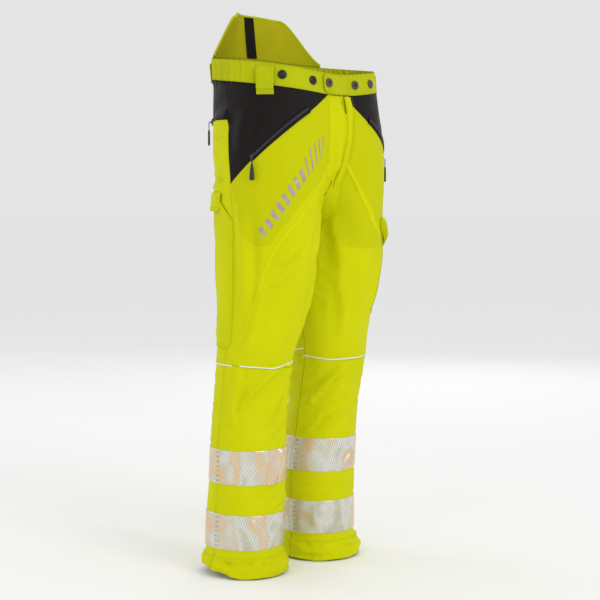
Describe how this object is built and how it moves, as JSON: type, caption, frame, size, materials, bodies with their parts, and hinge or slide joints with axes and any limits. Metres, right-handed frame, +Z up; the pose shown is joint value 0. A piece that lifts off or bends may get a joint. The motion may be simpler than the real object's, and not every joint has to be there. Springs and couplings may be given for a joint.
{
  "type": "chainsaw trousers",
  "caption": "High-visibility chainsaw trousers with a high back, black stretch hip panels, zipped pockets, thigh pockets and reflective bands on the legs",
  "frame": {"origin": "centre of the footprint of the bounding box, at the bottom of the hems", "axes": "+Z up, the front of the garment faces -Y, the wearer's right is -X"},
  "size_m": [0.3838, 0.2736, 1.139],
  "materials": {
    "shell_fabric": "matt woven fluorescent yellow polyester-cotton",
    "band_fabric": "matt woven fluorescent yellow fabric, slightly duller",
    "stretch_fabric": "matt black four-way stretch fabric",
    "inner_fabric": "matt olive yellow inner face of the high back",
    "lining_mesh": "matt grey warp-knit lining",
    "pad_fibre": "white layered cut-protection fibre pad, stitched",
    "webbing": "matt black webbing",
    "reflective_tape": "segmented silver retroreflective tape with slanting gaps",
    "piping": "white retroreflective piping",
    "snap_metal": "black nickel press button",
    "zip_plastic": "black moulded zip",
    "grip_rubber": "black moulded zip grip on a cord"
  },
  "bodies": {
    "root": {"back_pocket_zip_chain": "zip_plastic", "back_stay_strap": "webbing", "back_waistband": "band_fabric", "back_yoke": "stretch_fabric", "closure_snap_stud": "snap_metal", "fly_cover": "shell_fabric", "fly_zip_chain": "zip_plastic", "high_back_lining": "inner_fabric", "high_back_panel": "shell_fabric", "left_back_belt_loop": "shell_fabric", "left_back_brace_button": "snap_metal", "left_back_calf_panel": "shell_fabric", "left_back_thigh_panel": "shell_fabric", "left_cut_protection_pad": "pad_fibre", "left_elastic_waist": "band_fabric", "left_front_belt_loop": "shell_fabric", "left_front_brace_button": "snap_metal", "left_front_pocket_zip_chain": "zip_plastic", "left_front_shin_panel": "shell_fabric", "left_front_thigh_panel": "shell_fabric", "left_front_waistband": "band_fabric", "left_hip_panel": "stretch_fabric", "left_knee_piping": "piping", "left_leg_lining": "lining_mesh", "left_lower_reflective_band": "reflective_tape", "left_side_brace_button": "snap_metal", "left_thigh_pocket": "shell_fabric", "left_upper_reflective_band": "reflective_tape", "right_back_belt_loop": "shell_fabric", "right_back_brace_button": "snap_metal", "right_back_calf_panel": "shell_fabric", "right_back_thigh_panel": "shell_fabric", "right_cut_protection_pad": "pad_fibre", "right_elastic_waist": "band_fabric", "right_front_belt_loop": "shell_fabric", "right_front_brace_button": "snap_metal", "right_front_pocket_zip_chain": "zip_plastic", "right_front_shin_panel": "shell_fabric", "right_front_thigh_panel": "shell_fabric", "right_front_waistband": "band_fabric", "right_hip_panel": "stretch_fabric", "right_knee_piping": "piping", "right_leg_lining": "lining_mesh", "right_lower_reflective_band": "reflective_tape", "right_side_brace_button": "snap_metal", "right_thigh_pocket": "shell_fabric", "right_upper_reflective_band": "reflective_tape"},
    "waist_tab": {"waist_tab": "band_fabric", "closure_snap_cap": "snap_metal"},
    "fly_zip_slider": {"fly_zip_slider": "zip_plastic"},
    "fly_zip_pull": {"fly_zip_pull": "zip_plastic"},
    "right_front_pocket_zip_slider": {"right_front_pocket_zip_slider": "zip_plastic"},
    "right_front_pocket_zip_pull": {"right_front_pocket_zip_pull": "grip_rubber"},
    "left_front_pocket_zip_slider": {"left_front_pocket_zip_slider": "zip_plastic"},
    "left_front_pocket_zip_pull": {"left_front_pocket_zip_pull": "grip_rubber"},
    "back_pocket_zip_slider": {"back_pocket_zip_slider": "zip_plastic"},
    "back_pocket_zip_pull": {"back_pocket_zip_pull": "grip_rubber"},
    "right_thigh_pocket_flap": {"right_thigh_pocket_flap": "shell_fabric"},
    "left_thigh_pocket_flap": {"left_thigh_pocket_flap": "shell_fabric"}
  },
  "joints": [
    {"name": "waist_tab_fold", "type": "hinge", "parent": "root", "child": "waist_tab", "pos_m": [0.02454, -0.12779, 0.986], "axis": [0, 0, 1], "range_deg": [0, 95]},
    {"name": "fly_zip_travel", "type": "hinge", "parent": "root", "child": "fly_zip_slider", "pos_m": [-0.0012, 0.34139, 0.92243], "axis": [1, 0.0049, -0.0007], "range_deg": [0, 12.75]},
    {"name": "fly_zip_pull_swing", "type": "hinge", "parent": "fly_zip_slider", "child": "fly_zip_pull", "pos_m": [0.00112, -0.13025, 0.94595], "axis": [-1, 0, 0], "range_deg": [0, 2.5]},
    {"name": "right_front_pocket_zip_travel", "type": "hinge", "parent": "root", "child": "right_front_pocket_zip_slider", "pos_m": [-0.02527, 0.01655, 0.85611], "axis": [-0.3668, 0.5647, 0.7393], "range_deg": [0, 43.22]},
    {"name": "right_front_pocket_zip_pull_swing", "type": "hinge", "parent": "right_front_pocket_zip_slider", "child": "right_front_pocket_zip_pull", "pos_m": [-0.18776, -0.07273, 0.84368], "axis": [-0.4815, 0.8764, 0], "range_deg": [0, 70]},
    {"name": "left_front_pocket_zip_travel", "type": "hinge", "parent": "root", "child": "left_front_pocket_zip_slider", "pos_m": [0.05353, 0.01919, 0.87277], "axis": [-0.4825, -0.3375, -0.8083], "range_deg": [0, 43.9]},
    {"name": "left_front_pocket_zip_pull_swing", "type": "hinge", "parent": "left_front_pocket_zip_slider", "child": "left_front_pocket_zip_pull", "pos_m": [0.1799, -0.08743, 0.84185], "axis": [-0.6449, -0.7643, 0], "range_deg": [0, 70]},
    {"name": "back_pocket_zip_travel", "type": "hinge", "parent": "root", "child": "back_pocket_zip_slider", "pos_m": [-0.06966, -0.00114, 0.91375], "axis": [-0.0031, -0.0006, -1], "range_deg": [0, 48.98]},
    {"name": "back_pocket_zip_pull_swing", "type": "hinge", "parent": "back_pocket_zip_slider", "child": "back_pocket_zip_pull", "pos_m": [-0.15679, 0.08583, 0.91397], "axis": [0.7065, 0.7078, 0], "range_deg": [0, 70]},
    {"name": "right_thigh_pocket_flap_lift", "type": "hinge", "parent": "root", "child": "right_thigh_pocket_flap", "pos_m": [-0.17232, 0.05833, 0.776], "axis": [0.566, 0.8244, 0], "range_deg": [0, 95]},
    {"name": "left_thigh_pocket_flap_lift", "type": "hinge", "parent": "root", "child": "left_thigh_pocket_flap", "pos_m": [0.19035, -0.04712, 0.721], "axis": [-0.2197, -0.9756, 0], "range_deg": [0, 95]}
  ]
}
